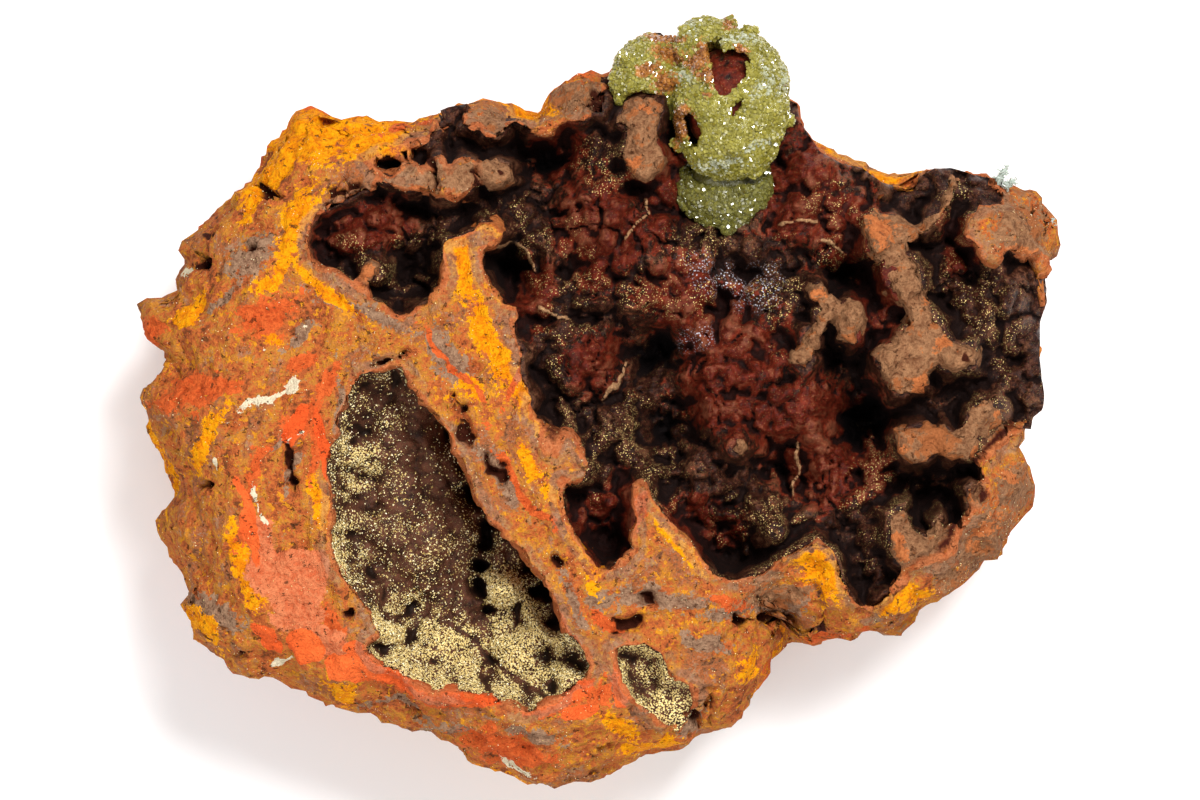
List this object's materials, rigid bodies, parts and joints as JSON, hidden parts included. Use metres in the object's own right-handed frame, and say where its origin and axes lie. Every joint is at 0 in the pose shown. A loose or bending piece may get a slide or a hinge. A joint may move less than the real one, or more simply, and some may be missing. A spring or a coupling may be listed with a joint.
{
  "type": "austinite mineral specimen on limonite",
  "caption": "Hand-sized limonite block lying on its flat back, with hollows lined by dark iron oxide and round green austinite crusts on its upper edge.",
  "frame": {"origin": "middle of the bounding box's underside, in the resting plane", "axes": "+Z out of the display face, +Y towards the edge with the austinite, +X to the right of someone who looks at the display face"},
  "size_m": [0.0933, 0.0773, 0.0354],
  "materials": {
    "limonite": "rough, earthy",
    "goethite": "botryoidal, half matte",
    "gold_druse": "sparkling",
    "austinite": "sugary, glassy",
    "pale_austinite": "glassy"
  },
  "bodies": {
    "root": {"limonite_block": "limonite", "upper_hollow_lining": "goethite", "lower_hollow_lining": "gold_druse", "small_hollow_lining": "gold_druse", "austinite_main_crust": "austinite", "austinite_lower_crust": "austinite", "pale_crystals_top": "pale_austinite", "pale_crystals_side": "pale_austinite"}
  },
  "joints": []
}
